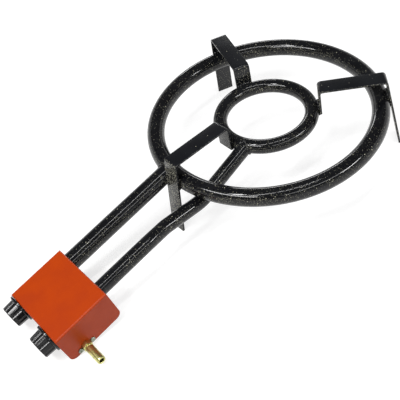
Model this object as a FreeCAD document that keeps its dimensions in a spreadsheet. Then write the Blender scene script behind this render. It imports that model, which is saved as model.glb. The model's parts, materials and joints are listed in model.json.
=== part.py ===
# Gas burner with two tube rings, three flat-bar pan supports and a control box on its handle.
# Millimetres. The origin is the common middle of the rings, in their plane. +Z is up,
# the handle runs out toward -Y and the hose nozzle is on the +X side.

import FreeCAD, Part
import math
import os
import Sketcher

V = FreeCAD.Vector
Placement = FreeCAD.Placement
Rotation = FreeCAD.Rotation

SIZES = [
    ("outer_ring_radius", 162.2, "outer ring: middle to the tube's axis"),
    ("outer_tube_radius", 12.8, "outer ring and its feed tube: outside radius"),
    ("inner_ring_radius", 66.5, "inner ring: middle to the tube's axis"),
    ("inner_tube_radius", 10.3, "inner ring and its feed tube: outside radius"),
    ("tube_wall", 1.5, "wall of the feed tubes"),
    ("seat_gap", 0.2, "gap that a weld bridges beside a tube"),
    ("bar_width", 25.0, "pan support: width of the flat bar"),
    ("bar_thickness", 3.0, "pan support: thickness of the flat bar"),
    ("bar_bend_radius", 6.0, "pan support: outside radius of its two bends"),
    ("support_height", 37.5, "pan support: top above the rings' plane"),
    ("inner_leg_depth", 3.0, "pan support: end of the short leg below the rings' plane"),
    ("foot_depth", 78.5, "pan support: foot below the rings' plane"),
    ("leg_splay", 8.0, "pan support: slope of the long leg, down and outward, degrees"),
    ("front_angle", 270.0, "pan support toward the handle: direction"),
    ("left_angle", 160.0, "second pan support: direction"),
    ("right_angle", 49.0, "third pan support: direction"),
    ("weld_radius", 2.6, "support welds: radius of the bead"),
    ("weld_length", 20.0, "support welds: length of the bead"),
    ("notch_angle", 34.0, "support welds: how far up and down the tube they lie, degrees"),
    ("joint_bead", 1.6, "tube welds: height of the bead over both tubes"),
    ("tack_radius", 4.5, "crossing welds: radius of a tack"),
    ("tack_spacing", 11.0, "crossing welds: distance between the tacks"),
    ("handle_pitch", 9.6, "handle: slope down and outward, degrees"),
    ("inner_feed_offset", 42.0, "inner feed tube and its tap: to the right of the middle"),
    ("feed_inset", 20.0, "feed tubes: end in the box, in front of its rear face"),
    ("first_bend_reach", 102.0, "inner feed tube: first bend, from the outer ring"),
    ("second_bend_reach", 225.0, "inner feed tube: second bend, from the middle"),
    ("second_bend_offset", 35.0, "inner feed tube: second bend, to the right"),
    ("second_bend_drop", 20.5, "inner feed tube: second bend, below the rings' plane"),
    ("crossing_reach", 160.0, "inner feed tube: lowest bend, from the middle"),
    ("crossing_offset", 33.5, "inner feed tube: lowest bend, to the right"),
    ("crossing_play", 2.1, "inner feed tube: lowest bend, slack under the outer ring"),
    ("entry_offset", 24.8, "inner feed tube: meets the inner ring, to the right"),
    ("feed_bend_radius", 60.0, "inner feed tube: radius of its bends"),
    ("box_reach", 186.0, "box: rear face, from the outer ring"),
    ("box_length", 84.0, "box: along the handle"),
    ("box_left", 40.0, "box: left face, from the middle"),
    ("box_right", 68.5, "box: right face, from the middle"),
    ("box_height", 52.0, "box: height of the side walls"),
    ("box_headroom", 3.2, "box: room over the outer feed tube"),
    ("box_sheet", 1.2, "box: sheet thickness"),
    ("box_fold_radius", 2.2, "box: outside radius of the folds"),
    ("box_corner_radius", 9.0, "box: lower corners of the side walls"),
    ("end_wall_rise", 10.0, "box: front and rear walls end above the lower edge"),
    ("hole_gap", 0.3, "box: play round what passes its walls"),
    ("rail_side", 13.0, "gas rail: side of the square bar"),
    ("rail_setback", 26.0, "gas rail and taps: middle, behind the box's front face"),
    ("rail_drop", 27.0, "gas rail: axis below the handle's axis"),
    ("rail_left", 33.0, "gas rail: left end, from the middle"),
    ("rail_bore_radius", 3.0, "gas rail: bore"),
    ("flange_thickness", 3.0, "gas rail: flange on the box's right wall"),
    ("flange_length", 31.0, "gas rail: flange along the handle"),
    ("thread_radius", 4.5, "plug and nozzle: threaded shank"),
    ("thread_depth", 9.0, "plug and nozzle: shank inside the rail"),
    ("fit_gap", 0.05, "play of a shank or shaft in its hole"),
    ("plug_flats", 11.0, "rail plug: across the flats"),
    ("plug_head", 3.5, "rail plug: head"),
    ("nozzle_flats", 12.0, "hose nozzle: across the flats"),
    ("nozzle_hex_length", 7.0, "hose nozzle: hexagon"),
    ("nozzle_radius", 5.3, "hose nozzle: barrel at the hexagon"),
    ("nozzle_tip_radius", 4.7, "hose nozzle: barrel at the tip"),
    ("nozzle_length", 28.5, "hose nozzle: barrel with its tip"),
    ("nozzle_tip_length", 5.0, "hose nozzle: tapered tip"),
    ("nozzle_bore_radius", 2.75, "hose nozzle: bore"),
    ("screw_spacing", 19.6, "inlet screws: distance apart"),
    ("screw_drop", 29.5, "inlet screws: below the handle's axis"),
    ("screw_radius", 2.0, "inlet screws and bracket bolts: shank"),
    ("screw_head_radius", 3.4, "inlet screws: head"),
    ("screw_head_height", 2.2, "inlet screws: head"),
    ("tap_radius", 11.0, "tap body: outside radius"),
    ("tap_length", 24.0, "tap body: along the handle"),
    ("tap_foot_radius", 6.0, "tap body: foot on the rail"),
    ("tap_tail_radius", 7.0, "tap body: tail that holds the injector"),
    ("tap_tail_length", 8.0, "tap body: tail"),
    ("tap_seat_wall", 4.0, "tap body: wall behind the plug"),
    ("port_radius", 2.0, "taps and rail: gas ports"),
    ("cock_radius", 5.0, "tap spindle: plug in the tap body"),
    ("spindle_radius", 3.0, "tap spindle: shaft"),
    ("spindle_reach", 16.5, "tap spindle: end, from the box's front face"),
    ("flat_distance", 2.2, "tap spindle: axis to its flat"),
    ("bonnet_flats", 20.0, "tap bonnet: across the flats"),
    ("collar_radius", 7.0, "tap bonnet: collar through the front wall"),
    ("collar_length", 5.0, "tap bonnet: collar outside the front wall"),
    ("nut_flats", 19.0, "tap nut: across the flats"),
    ("nut_height", 4.0, "tap nut: height"),
    ("injector_radius", 3.0, "injector: threaded shank"),
    ("injector_flats", 9.0, "injector: across the flats"),
    ("injector_hex_length", 4.0, "injector: hexagon"),
    ("injector_nose_length", 10.0, "injector: nose"),
    ("injector_nose_radius", 2.4, "injector: nose"),
    ("jet_radius", 0.6, "injector: jet"),
    ("knob_gap", 0.8, "knob: to the box's front face"),
    ("skirt_radius", 20.0, "knob: skirt"),
    ("skirt_thickness", 3.0, "knob: skirt"),
    ("grip_radius", 17.0, "knob: grip at the skirt"),
    ("grip_end_radius", 16.2, "knob: grip at its end"),
    ("grip_length", 15.5, "knob: grip"),
    ("knob_edge", 1.4, "knob: bevel round the grip's end"),
    ("flute_radius", 4.5, "knob: flutes in the grip"),
    ("flute_depth", 1.9, "knob: flutes in the grip"),
    ("flute_count", 8.0, "knob: number of flutes"),
    ("socket_radius", 11.8, "knob: hollow over the nut"),
    ("bracket_thickness", 2.5, "tap bracket: plate"),
    ("bracket_inset", 12.0, "tap bracket: rear face, in front of the box's rear face"),
    ("bracket_top", 6.0, "tap bracket: web above the handle's axis"),
    ("bracket_width", 30.0, "tap bracket: tongue"),
    ("bolt_spacing", 18.0, "bracket bolts: distance apart"),
    ("bolt_flats", 8.0, "bracket bolts: across the flats"),
    ("bolt_head", 3.5, "bracket bolts: head"),
    ("bolt_depth", 3.0, "bracket bolts: shank inside the rail"),
]

doc = FreeCAD.newDocument("GasBurner")
sheet = doc.addObject("Spreadsheet::Sheet", "Sizes")
for row, (alias, value, note) in enumerate(SIZES, start=1):
    sheet.set("A%d" % row, note)
    sheet.set("B%d" % row, str(value))
    sheet.setAlias("B%d" % row, alias)
doc.recompute()

# Places that several pieces share, as expressions of the sheet
LEG_AT_RING = "(Sizes.outer_ring_radius + (Sizes.outer_tube_radius + Sizes.seat_gap) / cos(Sizes.leg_splay))"
INNER_EDGE = "(Sizes.inner_ring_radius + Sizes.inner_tube_radius + Sizes.seat_gap)"
OUTER_FEED_X = "(-Sizes.bar_width / 2 - Sizes.seat_gap - Sizes.outer_tube_radius)"
INNER_FEED_X = "Sizes.inner_feed_offset"
RING_REACH = "sqrt(Sizes.outer_ring_radius^2 - %s^2)" % OUTER_FEED_X
CROSSING_DROP = "(Sizes.outer_tube_radius + Sizes.inner_tube_radius + Sizes.crossing_play)"
BOX_TOP = "(Sizes.outer_tube_radius + Sizes.box_headroom + Sizes.box_sheet)"
BOX_BOTTOM = "(%s - Sizes.box_height)" % BOX_TOP
BOX_FRONT = "(Sizes.box_reach + Sizes.box_length)"
FEED_END = "(Sizes.box_reach + Sizes.feed_inset)"
BRACKET_REACH = "(Sizes.box_reach + Sizes.bracket_inset)"
RAIL_REACH = "(%s - Sizes.rail_setback)" % BOX_FRONT
RAIL_TOP = "(Sizes.rail_side / 2 - Sizes.rail_drop)"
RAIL_BOTTOM = "(-Sizes.rail_side / 2 - Sizes.rail_drop)"
RAIL_RIGHT = "(Sizes.box_right - Sizes.box_sheet)"
TAP_REAR = "(%s - Sizes.tap_length / 2)" % RAIL_REACH
TAP_FRONT = "(%s + Sizes.tap_length / 2)" % RAIL_REACH
KNOB_START = "(%s + Sizes.knob_gap)" % BOX_FRONT
KNOB_END = "(%s + Sizes.skirt_thickness + Sizes.grip_length)" % KNOB_START
SOCKET_END = "(%s + Sizes.collar_length + Sizes.knob_gap)" % BOX_FRONT
SPINDLE_END = "(%s + Sizes.spindle_reach)" % BOX_FRONT
MIDDLE_X = "((%s + %s) / 2)" % (OUTER_FEED_X, INNER_FEED_X)
TAPS = {"outer": OUTER_FEED_X, "inner": INNER_FEED_X}
SUPPORTS = {"front": "front_angle", "left": "left_angle", "right": "right_angle"}

TO_THE_RIGHT = Rotation(V(0, 1, 0), 90)
DOWNWARD = Rotation(V(1, 0, 0), 90)
FLATS_TO_THE_SCREWS = TO_THE_RIGHT.multiply(Rotation(V(0, 0, 1), 30))
SAME_LENGTH = 1e-4
nodes = []


def number(expression):
    """The value of a sheet expression"""
    return float(sheet.evalExpression(expression))


def size(alias):
    """One value of the sheet"""
    return number("Sizes." + alias)


def handle_frame():
    """The frame of the handle: X across, Y up and Z outward along the feed tubes"""
    return Placement(V(0, -number(RING_REACH), 0), Rotation(V(1, 0, 0), 90 + size("handle_pitch")))


def support_frame(alias):
    """The frame of a pan support: X runs outward from the rings' middle"""
    return Placement(V(0, 0, 0), Rotation(V(0, 0, 1), size(alias)))


def place(feature, at, turn):
    """Binds where a feature or a solid stands"""
    feature.Placement = Placement(V(0, 0, 0), turn)
    for axis, expression in zip("xyz", at):
        feature.setExpression("Placement.Base." + axis, str(expression))


def new_body(name, frame=None):
    """An empty body; the pieces that are kept are listed by keep()"""
    body = doc.addObject("PartDesign::Body", name)
    body.Label = name
    body.Placement = frame or Placement()
    return body


def keep(piece, name):
    """Names a finished piece and lists it"""
    piece.Label = name
    nodes.append(piece)
    return piece


def primitive(body, kind, sizes, at=(0, 0, 0), turn=Rotation()):
    """Adds or cuts one primitive in a body"""
    feature = body.newObject("PartDesign::" + kind, kind)
    feature.MapMode = "Deactivated"
    place(feature, at, turn)
    for name, expression in sizes.items():
        feature.setExpression(name, expression)
    return feature


def cylinder(body, kind, radius, length, at, turn=Rotation()):
    """Adds or cuts a cylinder; unturned, it runs along Z"""
    return primitive(body, kind + "Cylinder", {"Radius": radius, "Height": length}, at, turn)


def hexagon(body, flats, length, at, turn=Rotation()):
    """Adds a hexagonal prism, given across its flats"""
    prism = primitive(body, "AdditivePrism", {"Circumradius": hex_corner(flats), "Height": length}, at, turn)
    prism.Polygon = 6
    return prism


def hex_corner(flats):
    """Corner radius of a hexagon, as an expression"""
    return "%s / 2 / cos(30)" % flats


def block(body, kind, low, high):
    """Adds or cuts a box between two corners"""
    spans = ["%s - (%s)" % (b, a) for a, b in zip(low, high)]
    return primitive(body, kind + "Box", dict(zip(("Length", "Width", "Height"), spans)), low)


def edge_names(feature, chosen):
    """The edges of a feature whose length and middle pass a test"""
    doc.recompute()
    edges = enumerate(feature.Shape.Edges, start=1)
    return ["Edge%d" % index for index, edge in edges if chosen(edge.Length, edge.CenterOfMass)]


def round_edges(body, feature, radius, chosen):
    """Rounds the chosen edges of a feature"""
    fillet = body.newObject("PartDesign::Fillet", "Fillet")
    fillet.Base = (feature, edge_names(feature, chosen))
    fillet.setExpression("Radius", radius)
    return fillet


def bevel_edges(body, feature, width, chosen):
    """Bevels the chosen edges of a feature"""
    chamfer = body.newObject("PartDesign::Chamfer", "Chamfer")
    chamfer.Base = (feature, edge_names(feature, chosen))
    chamfer.setExpression("Size", width)
    return chamfer


def near(a, b):
    """Whether two lengths are the same"""
    return abs(a - b) < SAME_LENGTH


def along(value, expression):
    """Whether a length is that of an expression"""
    return near(value, number(expression))


def solid(kind, sizes, at=(0, 0, 0), frame=None, turn=Rotation()):
    """A bare solid that a weld or a screw is made from"""
    piece = doc.addObject("Part::" + kind, kind)
    spot = V(*[number(str(expression)) for expression in at])
    piece.Placement = (frame or Placement()).multiply(Placement(spot, turn))
    for name, expression in sizes.items():
        piece.setExpression(name, expression)
    return piece


def group(pieces, name="Group"):
    """Several solids as one shape, still apart"""
    compound = doc.addObject("Part::Compound", name)
    compound.Links = pieces
    return compound


def less(name, base, tools):
    """One shape less others"""
    result = doc.addObject("Part::Cut", name)
    result.Base = base
    result.Tool = tools[0] if len(tools) == 1 else group(tools)
    return result


def polygon(sketch, corners):
    """Draws a closed outline whose corners are bound to pairs of expressions"""
    points = [V(number(x), number(y), 0) for x, y in corners]
    count = len(points)
    for index in range(count):
        sketch.addGeometry(Part.LineSegment(points[index], points[(index + 1) % count]), False)
    for index in range(count):
        sketch.addConstraint(Sketcher.Constraint("Coincident", index, 2, (index + 1) % count, 1))
        for kind, value, expression in (
            ("DistanceX", points[index].x, corners[index][0]),
            ("DistanceY", points[index].y, corners[index][1]),
        ):
            constraint = sketch.addConstraint(Sketcher.Constraint(kind, index, 1, value))
            sketch.setExpression("Constraints[%d]" % constraint, expression)


def make_ring(name, ring_radius, tube_radius):
    """A closed ring of round tube; its inside stays solid, since nothing shows through its wall"""
    body = new_body(name)
    primitive(body, "AdditiveTorus", {"Radius1": ring_radius, "Radius2": tube_radius})
    return keep(body, name)


def make_support(side, alias):
    """A flat bar bent to a hook: short leg on the inner ring, long leg down past the outer ring"""
    name = "pan_support_" + side
    body = new_body(name, support_frame(alias))
    sketch = body.newObject("Sketcher::SketchObject", "Profile_" + side)
    plane = [item for item in body.Origin.OriginFeatures if item.Role == "XZ_Plane"][0]
    sketch.AttachmentSupport = [(plane, "")]
    sketch.MapMode = "FlatFace"
    top = "Sizes.support_height"
    underside = "Sizes.support_height - Sizes.bar_thickness"
    inside = INNER_EDGE + " + Sizes.bar_thickness"
    slant = " + Sizes.bar_thickness / cos(Sizes.leg_splay)"
    polygon(sketch, [
        (INNER_EDGE, "-Sizes.inner_leg_depth"),
        (INNER_EDGE, top),
        (leg_face(top) + slant, top),
        (leg_face("-Sizes.foot_depth") + slant, "-Sizes.foot_depth"),
        (leg_face("-Sizes.foot_depth"), "-Sizes.foot_depth"),
        (leg_face(underside), underside),
        (inside, underside),
        (inside, "-Sizes.inner_leg_depth"),
    ])
    pad = body.newObject("PartDesign::Pad", "Bar_" + side)
    pad.Profile = sketch
    pad.setExpression("Length", "Sizes.bar_width")
    pad.SideType = "Symmetric"
    outer_bends = (number(INNER_EDGE), number(leg_face(top) + slant))
    inner_bends = (number(inside), number(leg_face(underside)))
    bend = round_edges(
        body, pad, "Sizes.bar_bend_radius",
        lambda length, middle: along(middle.z, top) and any(near(middle.x, x) for x in outer_bends),
    )
    round_edges(
        body, bend, "Sizes.bar_bend_radius - Sizes.bar_thickness",
        lambda length, middle: along(middle.z, underside) and any(near(middle.x, x) for x in inner_bends),
    )
    return keep(body, name)


def leg_face(height):
    """How far out the inner face of a long leg stands at a height"""
    return "(%s - (%s) * tan(Sizes.leg_splay))" % (LEG_AT_RING, height)


def make_outer_feed_tube(outer_ring):
    """The straight tube from the outer ring to the box, its end cut to the ring"""
    blank = new_body("outer_feed_blank", handle_frame())
    cylinder(blank, "Additive", "Sizes.outer_tube_radius", FEED_END, (OUTER_FEED_X, 0, 0))
    bore = "Sizes.outer_tube_radius - Sizes.tube_wall"
    cylinder(blank, "Subtractive", bore, FEED_END, (OUTER_FEED_X, 0, 0))
    return keep(less("outer_feed_tube", blank, [outer_ring]), "outer_feed_tube")


def inner_feed_points():
    """The corners of the inner feed tube's route, from the box to the inner ring's tube"""
    frame = handle_frame()
    x = number(INNER_FEED_X)
    entry_y = -math.sqrt(size("inner_ring_radius") ** 2 - size("entry_offset") ** 2)
    return [
        frame.multVec(V(x, 0, number(FEED_END))),
        frame.multVec(V(x, 0, size("first_bend_reach"))),
        V(size("second_bend_offset"), -size("second_bend_reach"), -size("second_bend_drop")),
        V(size("crossing_offset"), -size("crossing_reach"), -number(CROSSING_DROP)),
        V(size("entry_offset"), entry_y, 0),
    ]


def rounded_path(points, radius):
    """Straight runs joined by tangent arcs of one radius"""
    edges = []
    start = points[0]
    for before, corner, after in zip(points, points[1:], points[2:]):
        back = (before - corner).normalize()
        ahead = (after - corner).normalize()
        half_turn = (math.pi - back.getAngle(ahead)) / 2
        reach = radius * math.tan(half_turn)
        first = corner + back * reach
        last = corner + ahead * reach
        to_middle = (back + ahead).normalize()
        crown = corner + to_middle * (radius / math.cos(half_turn) - radius)
        edges.append(Part.LineSegment(start, first).toShape())
        edges.append(Part.Arc(first, crown, last).toShape())
        start = last
    edges.append(Part.LineSegment(start, points[-1]).toShape())
    return Part.Wire(edges)


def bent_rod(points, bend_radius, radius):
    """A round rod along a bent route"""
    path = rounded_path(points, bend_radius)
    section = Part.Wire(Part.makeCircle(radius, points[0], points[1] - points[0]))
    return path.makePipeShell([section], True, False)


def make_inner_feed_tube(inner_ring):
    """The bent tube that dips under the outer ring and rises to the inner one; returns it unbored"""
    radius = size("inner_tube_radius")
    points = inner_feed_points()
    rod = bent_rod(points, size("feed_bend_radius"), radius)
    bore = bent_rod(points, size("feed_bend_radius"), radius - size("tube_wall"))
    envelope = doc.addObject("Part::Feature", "inner_feed_envelope")
    envelope.Shape = rod
    blank = doc.addObject("Part::Feature", "inner_feed_blank")
    blank.Shape = rod.cut(bore)
    keep(less("inner_feed_tube", blank, [inner_ring]), "inner_feed_tube")
    return envelope


def make_box():
    """The folded sheet box over the taps, open below, with rounded lower corners on its side walls"""
    body = new_body("control_box", handle_frame())
    left = "-Sizes.box_left"
    right = "Sizes.box_right"
    span = number("%s - (%s)" % (right, left))
    outside = block(body, "Additive", (left, BOX_BOTTOM, "Sizes.box_reach"), (right, BOX_TOP, BOX_FRONT))
    corners = round_edges(
        body, outside, "Sizes.box_corner_radius",
        lambda length, middle: along(middle.y, BOX_BOTTOM) and near(length, span),
    )
    round_edges(
        body, corners, "Sizes.box_fold_radius",
        lambda length, middle: along(middle.y, BOX_TOP),
    )
    sheet_in = "%s + Sizes.box_sheet"
    block(
        body, "Subtractive",
        (sheet_in % left, BOX_BOTTOM, sheet_in % "Sizes.box_reach"),
        (RAIL_RIGHT, BOX_TOP + " - Sizes.box_sheet", BOX_FRONT + " - Sizes.box_sheet"),
    )
    block(
        body, "Subtractive",
        (sheet_in % left, BOX_BOTTOM, "Sizes.box_reach"),
        (RAIL_RIGHT, BOX_BOTTOM + " + Sizes.end_wall_rise", BOX_FRONT),
    )
    wall = "2 * Sizes.box_sheet"
    for x, radius in ((OUTER_FEED_X, "Sizes.outer_tube_radius"), (INNER_FEED_X, "Sizes.inner_tube_radius")):
        rear = "Sizes.box_reach - Sizes.box_sheet / 2"
        cylinder(body, "Subtractive", radius + " + Sizes.hole_gap", wall, (x, 0, rear))
        front = BOX_FRONT + " - Sizes.box_sheet * 1.5"
        cylinder(body, "Subtractive", "Sizes.collar_radius + Sizes.hole_gap", wall, (x, 0, front))
    side = RAIL_RIGHT + " - Sizes.box_sheet / 2"
    cylinder(
        body, "Subtractive", "Sizes.thread_radius + Sizes.hole_gap", wall,
        (side, "-Sizes.rail_drop", RAIL_REACH), TO_THE_RIGHT,
    )
    for reach in screw_reaches():
        cylinder(
            body, "Subtractive", "Sizes.screw_radius + Sizes.hole_gap", wall,
            (side, "-Sizes.screw_drop", reach), TO_THE_RIGHT,
        )
    return keep(body, "control_box")


def screw_reaches():
    """Where the two inlet screws stand along the handle"""
    return [RAIL_REACH + " %s Sizes.screw_spacing / 2" % sign for sign in "-+"]


def bolt_places():
    """Where the two bracket bolts stand across the handle"""
    return ["%s %s Sizes.bolt_spacing / 2" % (MIDDLE_X, sign) for sign in "-+"]


def make_rail():
    """The square gas rail under the taps, with a flange on the box's right wall"""
    body = new_body("gas_rail", handle_frame())
    low_reach = RAIL_REACH + " - Sizes.rail_side / 2"
    high_reach = RAIL_REACH + " + Sizes.rail_side / 2"
    block(body, "Additive", ("-Sizes.rail_left", RAIL_BOTTOM, low_reach), (RAIL_RIGHT, RAIL_TOP, high_reach))
    block(
        body, "Additive",
        (RAIL_RIGHT + " - Sizes.flange_thickness", RAIL_BOTTOM, RAIL_REACH + " - Sizes.flange_length / 2"),
        (RAIL_RIGHT, RAIL_TOP, RAIL_REACH + " + Sizes.flange_length / 2"),
    )
    length = "Sizes.rail_left + " + RAIL_RIGHT
    axis = ("-Sizes.rail_left", "-Sizes.rail_drop", RAIL_REACH)
    cylinder(body, "Subtractive", "Sizes.rail_bore_radius", length, axis, TO_THE_RIGHT)
    shank_hole = "Sizes.thread_radius + Sizes.fit_gap"
    cylinder(body, "Subtractive", shank_hole, "Sizes.thread_depth", axis, TO_THE_RIGHT)
    right_end = (RAIL_RIGHT + " - Sizes.thread_depth", "-Sizes.rail_drop", RAIL_REACH)
    cylinder(body, "Subtractive", shank_hole, "Sizes.thread_depth", right_end, TO_THE_RIGHT)
    for x in TAPS.values():
        cylinder(
            body, "Subtractive", "Sizes.port_radius", "Sizes.rail_side / 2",
            (x, RAIL_TOP, RAIL_REACH), DOWNWARD,
        )
    for x in bolt_places():
        cylinder(
            body, "Subtractive", "Sizes.screw_radius + Sizes.fit_gap", "Sizes.bolt_depth",
            (x, RAIL_TOP, RAIL_REACH), DOWNWARD,
        )
    for reach in screw_reaches():
        cylinder(
            body, "Subtractive", "Sizes.screw_radius + Sizes.fit_gap", "Sizes.flange_thickness",
            (RAIL_RIGHT + " - Sizes.flange_thickness", "-Sizes.screw_drop", reach), TO_THE_RIGHT,
        )
    return keep(body, "gas_rail")


def make_rail_plug():
    """The hexagon plug that closes the rail's left end"""
    body = new_body("rail_plug", handle_frame())
    axis = ("-Sizes.rail_left", "-Sizes.rail_drop", RAIL_REACH)
    cylinder(body, "Additive", "Sizes.thread_radius", "Sizes.thread_depth", axis, TO_THE_RIGHT)
    head = ("-Sizes.rail_left - Sizes.plug_head", "-Sizes.rail_drop", RAIL_REACH)
    hexagon(body, "Sizes.plug_flats", "Sizes.plug_head", head, TO_THE_RIGHT)
    return keep(body, "rail_plug")


def make_nozzle():
    """The brass nozzle for the gas hose, screwed into the rail through the box's right wall"""
    body = new_body("hose_nozzle", handle_frame())
    shank = "Sizes.thread_depth + Sizes.box_sheet"
    barrel = "Sizes.nozzle_length - Sizes.nozzle_tip_length"
    barrel_start = "Sizes.box_right + Sizes.nozzle_hex_length"
    shank_start = "Sizes.box_right - (%s)" % shank
    starts = (shank_start, "Sizes.box_right", barrel_start, barrel_start + " + " + barrel)
    shank_at, head_at, barrel_at, tip_at = [(x, "-Sizes.rail_drop", RAIL_REACH) for x in starts]
    cylinder(body, "Additive", "Sizes.thread_radius", shank, shank_at, TO_THE_RIGHT)
    hexagon(body, "Sizes.nozzle_flats", "Sizes.nozzle_hex_length", head_at, FLATS_TO_THE_SCREWS)
    cylinder(body, "Additive", "Sizes.nozzle_radius", barrel, barrel_at, TO_THE_RIGHT)
    tip = {
        "Radius1": "Sizes.nozzle_radius",
        "Radius2": "Sizes.nozzle_tip_radius",
        "Height": "Sizes.nozzle_tip_length",
    }
    primitive(body, "AdditiveCone", tip, tip_at, TO_THE_RIGHT)
    length = "%s + Sizes.nozzle_hex_length + Sizes.nozzle_length" % shank
    cylinder(body, "Subtractive", "Sizes.nozzle_bore_radius", length, shank_at, TO_THE_RIGHT)
    return keep(body, "hose_nozzle")


def make_inlet_screws():
    """The two screws that hold the rail's flange to the box's right wall"""
    screws = []
    for reach in screw_reaches():
        head_at = ("Sizes.box_right", "-Sizes.screw_drop", reach)
        head = solid(
            "Cylinder", {"Radius": "Sizes.screw_head_radius", "Height": "Sizes.screw_head_height"},
            head_at, handle_frame(), TO_THE_RIGHT,
        )
        length = "Sizes.box_sheet + Sizes.flange_thickness"
        shank_at = ("Sizes.box_right - (%s)" % length, "-Sizes.screw_drop", reach)
        shank = solid(
            "Cylinder", {"Radius": "Sizes.screw_radius", "Height": length},
            shank_at, handle_frame(), TO_THE_RIGHT,
        )
        screw = doc.addObject("Part::Fuse", "Screw")
        screw.Base = head
        screw.Tool = shank
        screws.append(screw)
    return keep(group(screws, "inlet_screws"), "inlet_screws")


def make_tap_body(side, x):
    """The brass tap body, standing on the rail, with a bore for the plug and a tail for the injector"""
    body = new_body("tap_body_" + side, handle_frame())
    cylinder(body, "Additive", "Sizes.tap_radius", "Sizes.tap_length", (x, 0, TAP_REAR))
    foot = "-(%s)" % RAIL_TOP
    cylinder(body, "Additive", "Sizes.tap_foot_radius", foot, (x, 0, RAIL_REACH), DOWNWARD)
    tail = TAP_REAR + " - Sizes.tap_tail_length"
    cylinder(body, "Additive", "Sizes.tap_tail_radius", "Sizes.tap_tail_length", (x, 0, tail))
    seat = TAP_REAR + " + Sizes.tap_seat_wall"
    bore = "Sizes.tap_length - Sizes.tap_seat_wall"
    cylinder(body, "Subtractive", "Sizes.cock_radius + Sizes.fit_gap", bore, (x, 0, seat))
    cylinder(
        body, "Subtractive", "Sizes.injector_radius + Sizes.fit_gap",
        "Sizes.tap_tail_length + Sizes.tap_seat_wall", (x, 0, tail),
    )
    cylinder(body, "Subtractive", "Sizes.port_radius", foot, (x, 0, RAIL_REACH), DOWNWARD)
    return keep(body, "tap_body_" + side)


def make_injector(side, x):
    """The gas jet that points into the mouth of its feed tube"""
    body = new_body("injector_" + side, handle_frame())
    tail = TAP_REAR + " - Sizes.tap_tail_length"
    cylinder(body, "Additive", "Sizes.injector_radius", "Sizes.tap_tail_length", (x, 0, tail))
    hexagon(
        body, "Sizes.injector_flats", "Sizes.injector_hex_length",
        (x, 0, tail + " - Sizes.injector_hex_length"),
    )
    nose = tail + " - Sizes.injector_hex_length - Sizes.injector_nose_length"
    cylinder(body, "Additive", "Sizes.injector_nose_radius", "Sizes.injector_nose_length", (x, 0, nose))
    length = "Sizes.injector_nose_length + Sizes.injector_hex_length + Sizes.tap_tail_length"
    cylinder(body, "Subtractive", "Sizes.jet_radius", length, (x, 0, nose))
    return keep(body, "injector_" + side)


def make_bonnet(side, x):
    """The hexagon cover of the tap, with the collar that passes through the box's front wall"""
    body = new_body("tap_bonnet_" + side, handle_frame())
    length = "%s - Sizes.box_sheet - %s" % (BOX_FRONT, TAP_FRONT)
    hexagon(body, "Sizes.bonnet_flats", length, (x, 0, TAP_FRONT))
    wall = BOX_FRONT + " - Sizes.box_sheet"
    cylinder(body, "Additive", "Sizes.collar_radius", "Sizes.box_sheet + Sizes.collar_length", (x, 0, wall))
    cylinder(
        body, "Subtractive", "Sizes.spindle_radius + Sizes.fit_gap",
        "%s + Sizes.box_sheet + Sizes.collar_length" % length, (x, 0, TAP_FRONT),
    )
    return keep(body, "tap_bonnet_" + side)


def make_nut(side, x):
    """The nut that clamps the front wall against the bonnet"""
    body = new_body("tap_nut_" + side, handle_frame())
    hexagon(body, "Sizes.nut_flats", "Sizes.nut_height", (x, 0, BOX_FRONT))
    hole = "Sizes.collar_radius + Sizes.fit_gap"
    cylinder(body, "Subtractive", hole, "Sizes.nut_height", (x, 0, BOX_FRONT))
    return keep(body, "tap_nut_" + side)


def make_spindle(side, x):
    """The turning plug of the tap with its shaft; shut, the side port points away from the rail"""
    body = new_body("tap_spindle_" + side, handle_frame())
    play = "4 * Sizes.fit_gap"
    cock = TAP_REAR + " + Sizes.tap_seat_wall + " + play
    cock_length = "%s - %s - (%s)" % (TAP_FRONT, play, cock)
    cylinder(body, "Additive", "Sizes.cock_radius", cock_length, (x, 0, cock))
    shaft = TAP_FRONT + " - " + play
    cylinder(body, "Additive", "Sizes.spindle_radius", "%s - (%s)" % (SPINDLE_END, shaft), (x, 0, shaft))
    block(
        body, "Subtractive",
        (x + " + Sizes.flat_distance", "-Sizes.spindle_radius", SOCKET_END),
        (x + " + Sizes.spindle_radius", "Sizes.spindle_radius", SPINDLE_END),
    )
    cylinder(body, "Subtractive", "Sizes.port_radius", "%s - (%s)" % (RAIL_REACH, cock), (x, 0, cock))
    cylinder(
        body, "Subtractive", "Sizes.port_radius", "Sizes.cock_radius",
        (x, "Sizes.cock_radius", RAIL_REACH), DOWNWARD,
    )
    return keep(body, "tap_spindle_" + side)


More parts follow.
